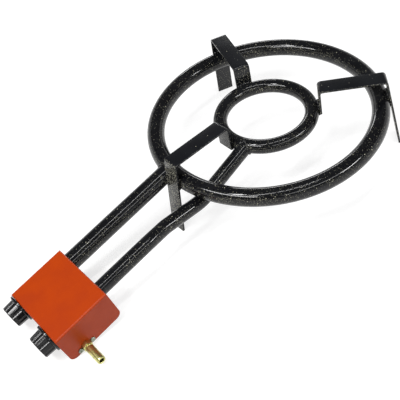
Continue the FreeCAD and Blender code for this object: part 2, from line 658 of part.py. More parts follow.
def make_knob(side, x):
    """The fluted knob with its thin skirt, hollow over the nut and keyed to the spindle's flat"""
    frame = handle_frame().multiply(Placement(V(number(x), 0, 0), Rotation()))
    body = new_body("knob_" + side, frame)
    grip_start = KNOB_START + " + Sizes.skirt_thickness"
    cylinder(body, "Additive", "Sizes.skirt_radius", "Sizes.skirt_thickness", (0, 0, KNOB_START))
    grip = primitive(
        body, "AdditiveCone",
        {"Radius1": "Sizes.grip_radius", "Radius2": "Sizes.grip_end_radius", "Height": "Sizes.grip_length"},
        (0, 0, grip_start),
    )
    bevel_edges(body, grip, "Sizes.knob_edge", lambda length, middle: along(middle.z, KNOB_END))
    flute = cylinder(
        body, "Subtractive", "Sizes.flute_radius", "Sizes.grip_length",
        ("Sizes.grip_radius + Sizes.flute_radius - Sizes.flute_depth", 0, grip_start),
    )
    flutes = body.newObject("PartDesign::PolarPattern", "Flutes")
    flutes.Originals = [flute]
    flutes.Axis = ([item for item in body.Origin.OriginFeatures if item.Role == "Z_Axis"][0], [""])
    flutes.Angle = 360
    flutes.setExpression("Occurrences", "Sizes.flute_count")
    body.Tip = flutes
    socket = "%s - %s" % (SOCKET_END, KNOB_START)
    cylinder(body, "Subtractive", "Sizes.socket_radius", socket, (0, 0, KNOB_START))
    bore = "%s + Sizes.fit_gap - %s" % (SPINDLE_END, SOCKET_END)
    cylinder(body, "Subtractive", "Sizes.spindle_radius + Sizes.fit_gap", bore, (0, 0, SOCKET_END))
    block(
        body, "Additive",
        ("Sizes.flat_distance + Sizes.fit_gap", "-Sizes.spindle_radius", SOCKET_END),
        ("Sizes.spindle_radius + 2 * Sizes.fit_gap", "Sizes.spindle_radius", "%s + %s" % (SOCKET_END, bore)),
    )
    return keep(body, "knob_" + side)


def make_bracket():
    """The bent plate that carries the rail: its web stands between the feed tubes, its tongue on the rail"""
    body = new_body("tap_bracket", handle_frame())
    web_front = BRACKET_REACH + " + Sizes.bracket_thickness"
    block(
        body, "Additive",
        (OUTER_FEED_X, RAIL_TOP, BRACKET_REACH),
        (INNER_FEED_X, "Sizes.bracket_top", web_front),
    )
    tongue_end = RAIL_REACH + " + Sizes.rail_side / 2"
    block(
        body, "Additive",
        (MIDDLE_X + " - Sizes.bracket_width / 2", RAIL_TOP, BRACKET_REACH),
        (MIDDLE_X + " + Sizes.bracket_width / 2", RAIL_TOP + " + Sizes.bracket_thickness", tongue_end),
    )
    for x, radius in ((OUTER_FEED_X, "Sizes.outer_tube_radius"), (INNER_FEED_X, "Sizes.inner_tube_radius")):
        cylinder(
            body, "Subtractive", radius + " + Sizes.seat_gap", "Sizes.bracket_thickness",
            (x, 0, BRACKET_REACH),
        )
    for x in bolt_places():
        cylinder(
            body, "Subtractive", "Sizes.screw_radius + Sizes.fit_gap", "Sizes.bracket_thickness",
            (x, RAIL_TOP + " + Sizes.bracket_thickness", RAIL_REACH), DOWNWARD,
        )
    return keep(body, "tap_bracket")


def make_bracket_bolts():
    """The two bolts through the bracket's tongue into the rail"""
    bolts = []
    seat = RAIL_TOP + " + Sizes.bracket_thickness"
    for x in bolt_places():
        head = solid(
            "Prism", {"Circumradius": hex_corner("Sizes.bolt_flats"), "Height": "Sizes.bolt_head"},
            (x, seat + " + Sizes.bolt_head", RAIL_REACH), handle_frame(), DOWNWARD,
        )
        length = "Sizes.bracket_thickness + Sizes.bolt_depth"
        shank = solid(
            "Cylinder", {"Radius": "Sizes.screw_radius", "Height": length},
            (x, seat, RAIL_REACH), handle_frame(), DOWNWARD,
        )
        bolt = doc.addObject("Part::Fuse", "Bolt")
        bolt.Base = head
        bolt.Tool = shank
        bolts.append(bolt)
    return keep(group(bolts, "bracket_bolts"), "bracket_bolts")


def joint_weld(name, tube_radius, ring_radius, at, frame, walls):
    """A bead round a tube's joint on a ring: what lies close to both but outside them"""
    length = "3 * " + tube_radius
    wide = tube_radius + " + Sizes.joint_bead"
    near_both = doc.addObject("Part::Common", name + "_blank")
    near_both.Base = solid("Cylinder", {"Radius": wide, "Height": length}, at, frame)
    near_both.Tool = solid("Torus", {"Radius1": ring_radius, "Radius2": wide})
    tube = solid("Cylinder", {"Radius": tube_radius, "Height": length}, at, frame)
    return less(name, near_both, walls + [tube])


def outer_feed_weld(walls):
    """The weld between the outer ring and its feed tube"""
    at = (OUTER_FEED_X, 0, 0)
    return joint_weld(
        "outer_feed_weld", "Sizes.outer_tube_radius", "Sizes.outer_ring_radius", at, handle_frame(), walls,
    )


def inner_feed_weld(walls):
    """The weld between the inner ring and its feed tube"""
    points = inner_feed_points()
    frame = Placement(points[-1], Rotation(V(0, 0, 1), points[-2] - points[-1]))
    return joint_weld(
        "inner_feed_weld", "Sizes.inner_tube_radius", "Sizes.inner_ring_radius", (0, 0, 0), frame, walls,
    )


def support_welds(name, spots, walls):
    """Weld beads along the legs of the three supports, in the notches beside the ring's tube"""
    beads = []
    for alias in SUPPORTS.values():
        for edge, height in spots:
            at = (edge + " - Sizes.weld_radius / 2", "Sizes.weld_length / 2", height)
            sizes = {"Radius": "Sizes.weld_radius", "Height": "Sizes.weld_length"}
            beads.append(solid("Cylinder", sizes, at, support_frame(alias), DOWNWARD))
    return less(name, group(beads), walls)


def crossing_welds(outer_ring, inner_feed_rod):
    """The two tacks between the outer ring and the tube that passes under it"""
    reach = math.sqrt(size("outer_ring_radius") ** 2 - size("crossing_offset") ** 2)
    direction = math.degrees(math.atan2(-reach, size("crossing_offset")))
    frame = Placement(V(0, 0, 0), Rotation(V(0, 0, 1), direction))
    tacks = []
    for sign in "-+":
        at = ("Sizes.outer_ring_radius", "0 %s Sizes.tack_spacing / 2" % sign, "-Sizes.outer_tube_radius")
        tacks.append(solid("Sphere", {"Radius": "Sizes.tack_radius"}, at, frame))
    return less("crossing_welds", group(tacks), [outer_ring, inner_feed_rod])


def make_outer_welds(outer_ring, supports, inner_feed_rod):
    """Every weld on the outer ring: support legs, feed tube and the crossing"""
    notch = "Sizes.outer_tube_radius * sin(Sizes.leg_splay %s Sizes.notch_angle)"
    spots = [(leg_face(notch % sign), notch % sign) for sign in "+-"]
    welds = [
        support_welds("outer_support_welds", spots, [outer_ring] + supports),
        outer_feed_weld([outer_ring, supports[0]]),
        crossing_welds(outer_ring, inner_feed_rod),
    ]
    return keep(group(welds, "outer_ring_welds"), "outer_ring_welds")


def make_inner_welds(inner_ring, supports):
    """Every weld on the inner ring: the short legs of the supports and the feed tube"""
    notch = "Sizes.inner_tube_radius * sin(Sizes.notch_angle)"
    under_leg = "-Sizes.inner_leg_depth - Sizes.weld_radius / 2"
    welds = [
        support_welds(
            "inner_support_welds", [(INNER_EDGE, notch), (INNER_EDGE, under_leg)], [inner_ring] + supports,
        ),
        inner_feed_weld([inner_ring]),
    ]
    return keep(group(welds, "inner_ring_welds"), "inner_ring_welds")


def build():
    """Makes every piece"""
    outer_ring = make_ring("outer_ring", "Sizes.outer_ring_radius", "Sizes.outer_tube_radius")
    inner_ring = make_ring("inner_ring", "Sizes.inner_ring_radius", "Sizes.inner_tube_radius")
    supports = [make_support(side, alias) for side, alias in SUPPORTS.items()]
    make_outer_feed_tube(outer_ring)
    inner_feed_rod = make_inner_feed_tube(inner_ring)
    make_outer_welds(outer_ring, supports, inner_feed_rod)
    make_inner_welds(inner_ring, supports)
    make_box()
    make_rail()
    make_rail_plug()
    make_nozzle()
    make_inlet_screws()
    make_bracket()
    make_bracket_bolts()
    for side, x in TAPS.items():
        make_tap_body(side, x)
        make_injector(side, x)
        make_bonnet(side, x)
        make_nut(side, x)
        make_spindle(side, x)
        make_knob(side, x)


def check_and_write():
    """Stops at any failed object or bad shape, then writes one file for each piece"""
    doc.recompute()
    for item in doc.Objects:
        if "Invalid" in item.State or "Error" in item.State:
            raise RuntimeError("%s failed: %s" % (item.Label, item.State))
    for piece in nodes:
        if piece.Shape.isNull() or not piece.Shape.isValid() or not piece.Shape.Solids:
            raise RuntimeError("%s has no valid solid" % piece.Label)
    os.makedirs("parts", exist_ok=True)
    for piece in nodes:
        piece.Shape.exportStep("parts/%s.step" % piece.Label)
        print("%-22s %d solid(s) %12.1f mm3" % (piece.Label, len(piece.Shape.Solids), piece.Shape.Volume))


build()
check_and_write()
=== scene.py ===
"""Looks of a gas burner with two tube rings, pan supports and a control box.

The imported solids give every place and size. This script dresses them, and rebuilds the pieces whose
finish needs finer shape: ported rings, bent bars, weld beads, moulded knobs, brass nozzle and screws.
"""

from __future__ import annotations

import json
import logging
import math
from dataclasses import dataclass, field
from enum import Enum
from typing import Any, Iterable, Sequence

import bmesh
import bpy
from mathutils import Euler, Matrix, Vector

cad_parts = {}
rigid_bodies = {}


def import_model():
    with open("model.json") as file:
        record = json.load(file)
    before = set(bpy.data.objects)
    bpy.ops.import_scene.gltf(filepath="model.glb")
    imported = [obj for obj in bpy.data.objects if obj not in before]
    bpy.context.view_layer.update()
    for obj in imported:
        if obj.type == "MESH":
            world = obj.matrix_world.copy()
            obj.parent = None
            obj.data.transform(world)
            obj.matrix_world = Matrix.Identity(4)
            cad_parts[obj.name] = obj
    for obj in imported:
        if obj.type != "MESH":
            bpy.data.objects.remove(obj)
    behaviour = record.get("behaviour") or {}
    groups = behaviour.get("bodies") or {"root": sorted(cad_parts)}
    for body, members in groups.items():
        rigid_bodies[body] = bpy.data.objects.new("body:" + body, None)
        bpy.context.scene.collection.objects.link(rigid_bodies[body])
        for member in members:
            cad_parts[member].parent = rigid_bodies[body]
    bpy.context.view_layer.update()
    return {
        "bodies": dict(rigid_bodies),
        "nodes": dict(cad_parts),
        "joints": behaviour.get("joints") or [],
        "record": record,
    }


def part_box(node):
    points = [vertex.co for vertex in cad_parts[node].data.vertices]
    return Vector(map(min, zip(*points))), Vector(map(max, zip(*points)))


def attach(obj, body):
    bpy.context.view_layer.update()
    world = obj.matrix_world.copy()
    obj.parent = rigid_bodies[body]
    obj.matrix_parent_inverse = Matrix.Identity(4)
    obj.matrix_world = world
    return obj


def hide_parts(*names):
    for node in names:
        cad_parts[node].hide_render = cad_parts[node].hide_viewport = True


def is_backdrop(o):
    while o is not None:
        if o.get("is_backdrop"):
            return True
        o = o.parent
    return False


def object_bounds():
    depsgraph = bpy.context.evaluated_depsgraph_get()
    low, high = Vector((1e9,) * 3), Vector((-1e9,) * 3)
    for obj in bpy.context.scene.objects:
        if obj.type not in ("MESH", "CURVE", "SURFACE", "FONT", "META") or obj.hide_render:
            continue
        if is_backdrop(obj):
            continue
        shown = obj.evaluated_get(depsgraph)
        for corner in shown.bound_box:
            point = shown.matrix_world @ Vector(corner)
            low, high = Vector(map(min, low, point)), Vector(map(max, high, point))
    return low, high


LOG = logging.getLogger("burner")
MM = 0.001
FULL_TURN = 2 * math.pi
Colour = tuple[float, float, float]


class Slot(Enum):
    """The record's material slots."""

    ENAMEL = "black_enamel"
    ORANGE = "orange_enamel"
    BRASS = "brass"
    ZINC = "zinc_steel"
    KNOB = "knob_plastic"


class Signal:
    """A shader socket that can be used in arithmetic."""

    def __init__(self, wiring: Wiring, socket: bpy.types.NodeSocket) -> None:
        """Keeps an output socket with the node tree that it belongs to."""
        self.wiring = wiring
        self.socket = socket

    def _with(self, operation: str, first: Any, second: Any) -> Signal:
        """Adds one Math node."""
        return self.wiring.node("ShaderNodeMath", {"operation": operation}, {0: first, 1: second}).out(0)

    def __add__(self, other: Any) -> Signal:
        """self + other"""
        return self._with("ADD", self, other)

    def __radd__(self, other: Any) -> Signal:
        """other + self"""
        return self._with("ADD", other, self)

    def __sub__(self, other: Any) -> Signal:
        """self - other"""
        return self._with("SUBTRACT", self, other)

    def __rsub__(self, other: Any) -> Signal:
        """other - self"""
        return self._with("SUBTRACT", other, self)

    def __mul__(self, other: Any) -> Signal:
        """self * other"""
        return self._with("MULTIPLY", self, other)

    def __rmul__(self, other: Any) -> Signal:
        """other * self"""
        return self._with("MULTIPLY", other, self)

    def __gt__(self, other: Any) -> Signal:
        """1 where self is greater than other"""
        return self._with("GREATER_THAN", self, other)

    def fade(self, low: float, high: float) -> Signal:
        """Runs smoothly from 0 at low to 1 at high.

        Args:
            low: Value that gives 0.
            high: Value that gives 1.

        Returns:
            The faded signal.
        """
        settings = {"interpolation_type": "SMOOTHSTEP"}
        inputs = {"Value": self, "From Min": low, "From Max": high}
        return self.wiring.node("ShaderNodeMapRange", settings, inputs).out("Result")


class Placed:
    """A node that was added to a tree."""

    def __init__(self, wiring: Wiring, made: bpy.types.Node) -> None:
        """Keeps the node with its tree."""
        self.wiring = wiring
        self.made = made

    def out(self, key: int | str) -> Signal:
        """One output of the node."""
        return Signal(self.wiring, self.made.outputs[key])


class Wiring:
    """A node tree that one method fills."""

    def __init__(self, tree: bpy.types.NodeTree) -> None:
        """Empties the tree."""
        self.tree = tree
        self.tree.nodes.clear()

    def node(self, kind: str, settings: dict[str, Any], inputs: dict[int | str, Any]) -> Placed:
        """Adds a node, sets it up and feeds it.

        Args:
            kind: Blender's type name of the node.
            settings: Properties, set before the sockets.
            inputs: Values or signals by socket name or number.

        Returns:
            The node.
        """
        made = self.tree.nodes.new(kind)
        for name, value in settings.items():
            setattr(made, name, value)
        for key, value in inputs.items():
            if isinstance(value, Signal):
                self.tree.links.new(value.socket, made.inputs[key])
            else:
                made.inputs[key].default_value = value
        return Placed(self, made)


class Paint(Wiring):
    """A node material under one Principled shader."""

    # Sockets of a Mix node that blends colours, which share their names with those for numbers.
    MIX_FIRST = 6
    MIX_SECOND = 7
    MIX_RESULT = 2

    def __init__(self, name: str, constants: dict[str, Any]) -> None:
        """Starts a material.

        Args:
            name: Name of the material.
            constants: Values set directly on the shader's sockets.
        """
        self.material = bpy.data.materials.new(name)
        self.material.use_nodes = True
        super().__init__(self.material.node_tree)
        self.shader = self.node("ShaderNodeBsdfPrincipled", {}, constants)
        self.node("ShaderNodeOutputMaterial", {}, {"Surface": self.shader.out("BSDF")})
        self.place = self.node("ShaderNodeTexCoord", {}, {}).out("Object")

    def feed(self, **signals: Signal) -> None:
        """Links signals to the shader; underscores in the names stand for spaces."""
        for name, signal in signals.items():
            self.tree.links.new(signal.socket, self.shader.made.inputs[name.replace("_", " ")])

    def noise(self, size: float, detail: float = 3.0, roughness: float = 0.5) -> Signal:
        """Cloudy noise.

        Args:
            size: Width of the clouds in metres.
            detail: Number of finer layers.
            roughness: Strength of the finer layers.

        Returns:
            The noise, about 0.5 on average.
        """
        inputs = {"Vector": self.place, "Scale": 1.0 / size, "Detail": detail, "Roughness": roughness}
        return self.node("ShaderNodeTexNoise", {}, inputs).out("Fac")

    def specks(self, pitch: float, radius: float, share: Signal | float) -> Signal:
        """Round flecks of differing size, scattered over the surface.

        Args:
            pitch: Mean distance between the places that may hold a fleck, in metres.
            radius: Radius of the largest fleck, as a share of the pitch.
            share: Share of the places that hold one, the same everywhere or a signal.

        Returns:
            1 on a fleck and 0 off it.
        """
        smallest = 0.25 * radius
        soft_edge = 0.35 * radius
        inputs = {"Vector": self.place, "Scale": 1.0 / pitch}
        cells = self.node("ShaderNodeTexVoronoi", {"feature": "F1"}, inputs)
        split = self.node("ShaderNodeSeparateColor", {}, {"Color": cells.out("Color")})
        held = split.out("Red") > 1.0 - share
        reach = split.out("Green") * (radius - smallest) + smallest
        inside = (reach - cells.out("Distance")).fade(0.0, soft_edge)
        return inside * held

    def facing(self, axis: str) -> Signal:
        """How far the surface faces along an axis of the model: 1 with it, -1 against it."""
        normal = self.node("ShaderNodeTexCoord", {}, {}).out("Normal")
        return self.node("ShaderNodeSeparateXYZ", {}, {"Vector": normal}).out(axis)

    def mix(self, factor: Signal | float, first: Any, second: Any) -> Signal:
        """Blends two colours.

        Args:
            factor: 0 for the first colour, 1 for the second.
            first: A colour, or a signal that carries one.
            second: Another.

        Returns:
            The blended colour.
        """
        settings = {"data_type": "RGBA", "blend_type": "MIX"}
        inputs = {"Factor": factor, self.MIX_FIRST: rgba(first), self.MIX_SECOND: rgba(second)}
        return self.node("ShaderNodeMix", settings, inputs).out(self.MIX_RESULT)

    def bump(self, height: Signal, depth: float) -> None:
        """Lets a height move the shading normal; depth is the height of a full signal in metres."""
        inputs = {"Height": height, "Distance": depth, "Strength": 1.0}
        self.feed(Normal=self.node("ShaderNodeBump", {}, inputs).out("Normal"))


def rgba(colour: Any) -> Any:
    """A colour with alpha, or the signal as it is."""
    return colour if isinstance(colour, Signal) else (*colour, 1.0)


@dataclass(frozen=True)
class SpeckledEnamel:
    """Black stove enamel with pale flecks. They are painted densest on faces turned to the handle and
    thinnest on top, as painted light and shade.
    """

    name: str
    ior: float = 1.4
    ground: Colour = (0.0035, 0.0037, 0.0048)
    haze: Colour = (0.008, 0.0085, 0.01)
    fleck: Colour = (0.5, 0.48, 0.36)
    dust: Colour = (0.34, 0.33, 0.25)
    fleck_pitch: float = 2.4 * MM
    fleck_reach: float = 0.34
    fleck_share: float = 0.65
    dust_pitch: float = 1.2 * MM
    dust_reach: float = 0.5
    dust_share: float = 1.1
    dust_cover: float = 0.6
    fleck_cover: float = 0.9
    # Facing ranges and shares for the flecks' painted light and shade: more flecks on faces turned to the
    # handle, fewer on top.
    top_turn: tuple[float, float] = (0.45, 0.9)
    top_share: float = 0.3
    handle_turn: tuple[float, float] = (0.4, 0.9)
    side_share: float = 0.6
    patch_width: float = 50.0 * MM
    cloud_width: float = 30.0 * MM
    wave_width: float = 12.0 * MM
    grain_width: float = 3.2 * MM
    gloss: float = 0.07
    dull: float = 0.14
    fleck_rough: float = 0.1
    top_rough: float = 0.0
    ripple: float = 0.14 * MM
    grain_height: float = 0.2
    fleck_height: float = 0.14

    def make(self) -> bpy.types.Material:
        """Builds the material.

        Returns:
            The material.
        """
        paint = Paint(self.name, {"IOR": self.ior})
        # Painted light and shade: the flecks are real, but their share rises on faces turned to the handle,
        # where the lamps hang, and falls on top. So those sides read paler and the tops darker.
        top = paint.facing("Z").fade(*self.top_turn)
        turned = (0.0 - paint.facing("Y")).fade(*self.handle_turn)
        painted_handle_light = turned * (1.0 - self.side_share) + self.side_share
        cover = (1.0 - top * (1.0 - self.top_share)) * painted_handle_light
        patch = paint.noise(self.patch_width, 2.0).fade(0.3, 0.7) * 0.5 + 0.5
        flecks = paint.specks(self.fleck_pitch, self.fleck_reach, cover * patch * self.fleck_share)
        dust = paint.specks(self.dust_pitch, self.dust_reach, cover * patch * self.dust_share)
        cloud = paint.noise(self.cloud_width)
        ground = paint.mix(cloud.fade(0.35, 0.75), self.ground, self.haze)
        dusted = paint.mix(dust * self.dust_cover, ground, self.dust)
        coloured = paint.mix(flecks * self.fleck_cover, dusted, self.fleck)
        rough = cloud * (self.dull - self.gloss) + self.gloss + flecks * self.fleck_rough
        paint.feed(Base_Color=coloured, Roughness=rough + top * self.top_rough)
        waves = paint.noise(self.wave_width, 1.0) + paint.noise(self.grain_width, 2.0) * self.grain_height
        paint.bump(waves + flecks * self.fleck_height, self.ripple)
        return paint.material


@dataclass(frozen=True)
class SatinEnamel:
    """Smooth stove enamel in one colour, a little uneven, as on a folded sheet."""

    name: str
    ior: float = 1.34
    colour: Colour = (0.44, 0.045, 0.0008)
    worn: Colour = (0.39, 0.036, 0.0008)
    gloss: float = 0.27
    dull: float = 0.42
    cloud_width: float = 35.0 * MM
    dent_width: float = 6.0 * MM
    grain_width: float = 1.6 * MM
    grain_height: float = 0.03 * MM
    dent_height: float = 0.6

    def make(self) -> bpy.types.Material:
        """Builds the material.

        Returns:
            The material.
        """
        paint = Paint(self.name, {"IOR": self.ior})
        cloud = paint.noise(self.cloud_width, 4.0)
        grain = paint.noise(self.grain_width, 2.0)
        tone = (cloud + grain * 0.25).fade(0.4, 0.85)
        paint.feed(Base_Color=paint.mix(tone, self.colour, self.worn))
        paint.feed(Roughness=cloud * (self.dull - self.gloss) + self.gloss)
        paint.bump(grain + paint.noise(self.dent_width, 1.0) * self.dent_height, self.grain_height)
        return paint.material


@dataclass(frozen=True)
class BareMetal:
    """Machined or plated metal with fine grain and light stains."""

    name: str
    bright: Colour
    stained: Colour
    gloss: float
    dull: float
    stain_width: float = 6.0 * MM
    grain_width: float = 0.9 * MM
    grain_rough: float = 0.06
    grain_height: float = 0.02 * MM

    def make(self) -> bpy.types.Material:
        """Builds the material.

        Returns:
            The material.
        """
        paint = Paint(self.name, {"Metallic": 1.0})
        grain = paint.noise(self.grain_width, 2.0)
        stain = paint.noise(self.stain_width, 4.0, 0.6).fade(0.42, 0.72)
        paint.feed(Base_Color=paint.mix(stain, self.bright, self.stained))
        paint.feed(Roughness=stain * (self.dull - self.gloss) + self.gloss + grain * self.grain_rough)
        paint.bump(grain, self.grain_height)
        return paint.material


@dataclass(frozen=True)
class MouldedPlastic:
    """Hard black plastic, polished by the mould."""

    name: str
    ior: float = 1.36
    colour: Colour = (0.0075, 0.0075, 0.0085)
    worn: Colour = (0.014, 0.014, 0.015)
    gloss: float = 0.07
    cloud_width: float = 8.0 * MM
    cloud_rough: float = 0.06
    grain_width: float = 0.7 * MM
    grain_rough: float = 0.04
    grain_height: float = 0.003 * MM

    def make(self) -> bpy.types.Material:
        """Builds the material.

        Returns:
            The material.
        """
        paint = Paint(self.name, {"IOR": self.ior})
        cloud = paint.noise(self.cloud_width, 3.0)
        grain = paint.noise(self.grain_width, 2.0)
        paint.feed(Base_Color=paint.mix(cloud.fade(0.45, 0.8), self.colour, self.worn))
        paint.feed(Roughness=cloud * self.cloud_rough + self.gloss + grain * self.grain_rough)
        paint.bump(grain, self.grain_height)
        return paint.material


@dataclass
class Palette:
    """The finished materials, by use."""

    tube: bpy.types.Material
    bar: bpy.types.Material
    weld: bpy.types.Material
    orange: bpy.types.Material
    brass: bpy.types.Material
    zinc: bpy.types.Material
    knob: bpy.types.Material

    @classmethod
    def mixed(cls) -> Palette:
        """Makes every material.

        Returns:
            The palette.
        """
        return cls(
            tube=SpeckledEnamel("tube_enamel").make(),
            # The bars keep the same painted light and shade: almost no flecks on top and few on faces turned
            # away from the handle.
            bar=SpeckledEnamel(
                "bar_enamel", ground=(0.0055, 0.006, 0.0078), haze=(0.009, 0.01, 0.012),
                dust=(0.36, 0.35, 0.28), fleck_share=0.9, dust_reach=0.72, dust_share=1.5, dust_cover=0.8,
                top_share=0.02, side_share=0.2, gloss=0.14, dull=0.22, top_rough=0.04, ripple=0.08 * MM,
            ).make(),
            weld=SpeckledEnamel(
                "weld_enamel", fleck_share=0.6, gloss=0.12, dull=0.26, ripple=0.3 * MM,
            ).make(),
            orange=SatinEnamel("box_enamel").make(),
            brass=BareMetal("turned_brass", (0.64, 0.62, 0.26), (0.3, 0.29, 0.1), 0.26, 0.42).make(),
            zinc=BareMetal("zinc_plate", (0.3, 0.33, 0.28), (0.12, 0.13, 0.11), 0.3, 0.5).make(),
            knob=MouldedPlastic("knob_plastic").make(),
        )

    def for_slot(self, slot: Slot) -> bpy.types.Material:
        """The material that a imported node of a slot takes."""
        return {
            Slot.ENAMEL: self.tube,
            Slot.ORANGE: self.orange,
            Slot.BRASS: self.brass,
            Slot.ZINC: self.zinc,
            Slot.KNOB: self.knob,
        }[slot]


def named(items: Sequence[dict[str, Any]], name: str) -> dict[str, Any]:
    """The mount or joint of that name."""
    return next(item for item in items if item["name"] == name)


@dataclass
class Workshop:
    """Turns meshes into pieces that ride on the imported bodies."""

    record: dict[str, Any]
    palette: Palette
    made: list[bpy.types.Object] = field(default_factory=list)

    def mount(self, name: str) -> Vector:
        """Place of a mount."""
        return Vector(named(self.record["mounts"], name)["pos_m"])

    def tap(self, side: str) -> tuple[Vector, Vector]:
        """Place of a tap's joint and the axis that points out of the box."""
        joint = named(self.record["behaviour"]["joints"], side + "_tap_turn")
        return Vector(joint["pos_m"]), Vector(joint["axis"])

    def piece(
        self,
        name: str,
        mesh: bmesh.types.BMesh,
        material: bpy.types.Material,
        body: str,
        stands_for: Sequence[str] = (),
        crease: float = 35.0,
    ) -> bpy.types.Object:
        """Finishes a mesh as a piece of the model.

        Args:
            name: Name of the piece.
            mesh: Its mesh, placed in the model's frame; it is freed here.
            material: Its finish.
            body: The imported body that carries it.
            stands_for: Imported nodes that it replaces.
            crease: Angle in degrees from which an edge is shaded sharp.

        Returns:
            The piece.
        """
        bmesh.ops.recalc_face_normals(mesh, faces=mesh.faces)
        for face in mesh.faces:
            face.smooth = True
        for edge in mesh.edges:
            edge.smooth = len(edge.link_faces) == 2 and edge.calc_face_angle(0.0) < math.radians(crease)
        data = bpy.data.meshes.new(name)
        mesh.to_mesh(data)
        mesh.free()
        made = bpy.data.objects.new(name, data)
        bpy.context.scene.collection.objects.link(made)
        data.materials.append(material)
        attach(made, body)
        if stands_for:
            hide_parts(*stands_for)
        self.made.append(made)
        LOG.info("%s: %d faces on %s", name, len(data.polygons), body)
        return made


def edges_of(verts: Iterable[bmesh.types.BMVert]) -> list[bmesh.types.BMEdge]:
    """The edges that meet the vertices, each once."""
    return list(dict.fromkeys(edge for vert in verts for edge in vert.link_edges))


def soften(
    mesh: bmesh.types.BMesh, geom: Sequence[Any], offset: float, segments: int, affect: str = "EDGES",
) -> None:
    """Rounds edges, or corners of a flat outline.

    Args:
        mesh: The mesh they belong to.
        geom: The edges or vertices.
        offset: Width of the rounding.
        segments: Number of faces across it.
        affect: "EDGES" or "VERTICES".
    """
    bmesh.ops.bevel(
        mesh, geom=geom, offset=offset, affect=affect, segments=segments, profile=0.5, material=-1,
    )


def full_turn(mesh: bmesh.types.BMesh, geom: Sequence[Any], steps: int) -> None:
    """Spins a profile all the way round Z.

    Args:
        mesh: The mesh it belongs to.
        geom: Its vertices and edges.
        steps: Number of steps round.
    """
    bmesh.ops.spin(
        mesh, geom=geom, cent=(0, 0, 0), axis=(0, 0, 1), angle=FULL_TURN, steps=steps, use_merge=True,
    )


@dataclass
class Sweep:
    """A loop of edges that is pushed and bent into a bar, a grip or a wall."""

    mesh: bmesh.types.BMesh
    loop: list[bmesh.types.BMEdge]

    @classmethod
    def plate(cls, mesh: bmesh.types.BMesh, width: float, thickness: float, rounding: float) -> Sweep:
        """Starts a flat bar's section about the origin, thickness along X and width along Y.

        Args:
            mesh: The mesh to draw in.
            width: Width of the bar.
            thickness: Thickness of the bar.
            rounding: Radius of its long edges.

        Returns:
            The sweep at its start.
        """
        grid = bmesh.ops.create_grid(mesh, x_segments=1, y_segments=1, size=0.5)
        bmesh.ops.scale(mesh, vec=(thickness, width, 1.0), verts=grid["verts"])
        soften(mesh, grid["verts"], rounding, 3, "VERTICES")
        bmesh.ops.delete(mesh, geom=list(mesh.faces), context="FACES_ONLY")
        return cls(mesh, list(mesh.edges))

    def corners(self) -> list[bmesh.types.BMVert]:
        """The vertices of the loop."""
        return list(dict.fromkeys(vert for edge in self.loop for vert in edge.verts))

    def shift(self, move: Vector) -> None:
        """Moves the loop."""
        bmesh.ops.translate(self.mesh, vec=move, verts=self.corners())

    def push(self, move: Vector) -> None:
        """Extrudes the loop straight.

        Args:
            move: How far, and where to.
        """
        grown = bmesh.ops.extrude_edge_only(self.mesh, edges=self.loop)["geom"]
        self.loop = [item for item in grown if isinstance(item, bmesh.types.BMEdge)]
        self.shift(move)

    def bend(self, centre: Vector, axis: Vector, angle: float, steps: int) -> None:
        """Extrudes the loop round an axis.

        Args:
            centre: A point on the axis.
            axis: Its direction.
            angle: How far round, in radians.
            steps: Number of steps.
        """
        turned = bmesh.ops.spin(
            self.mesh, geom=self.loop + self.corners(), cent=centre, axis=axis, angle=angle, steps=steps,
        )
        self.loop = [item for item in turned["geom_last"] if isinstance(item, bmesh.types.BMEdge)]

    def close(self) -> None:
        """Fills every open end."""
        open_edges = [edge for edge in self.mesh.edges if len(edge.link_faces) < 2]
        bmesh.ops.edgeloop_fill(self.mesh, edges=open_edges)


def lathe(
    mesh: bmesh.types.BMesh, profile: Sequence[tuple[float, float]], steps: int, place: Matrix,
) -> list[bmesh.types.BMVert]:
    """Turns a profile of (radius, height) about Z and puts it in place.

    Args:
        mesh: The mesh to draw in.
        profile: Its points; a radius of 0 closes the shape.
        steps: Number of steps round.
        place: Where the turned shape stands.

    Returns:
        The vertices of the shape.
    """
    first = [mesh.verts.new((radius, 0.0, height)) for radius, height in profile]
    edges = [mesh.edges.new(pair) for pair in zip(first, first[1:])]
    before = set(mesh.verts) - set(first)
    full_turn(mesh, first + edges, steps)
    turned = [vert for vert in mesh.verts if vert not in before]
    bmesh.ops.remove_doubles(mesh, verts=turned, dist=1e-7)
    turned = [vert for vert in mesh.verts if vert not in before]
    bmesh.ops.transform(mesh, matrix=place, verts=turned)
    return turned


def ring_sizes(node: str) -> tuple[float, float]:
    """Ring radius and tube radius of a packed ring."""
    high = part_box(node)[1]
    return high.x - high.z, high.z


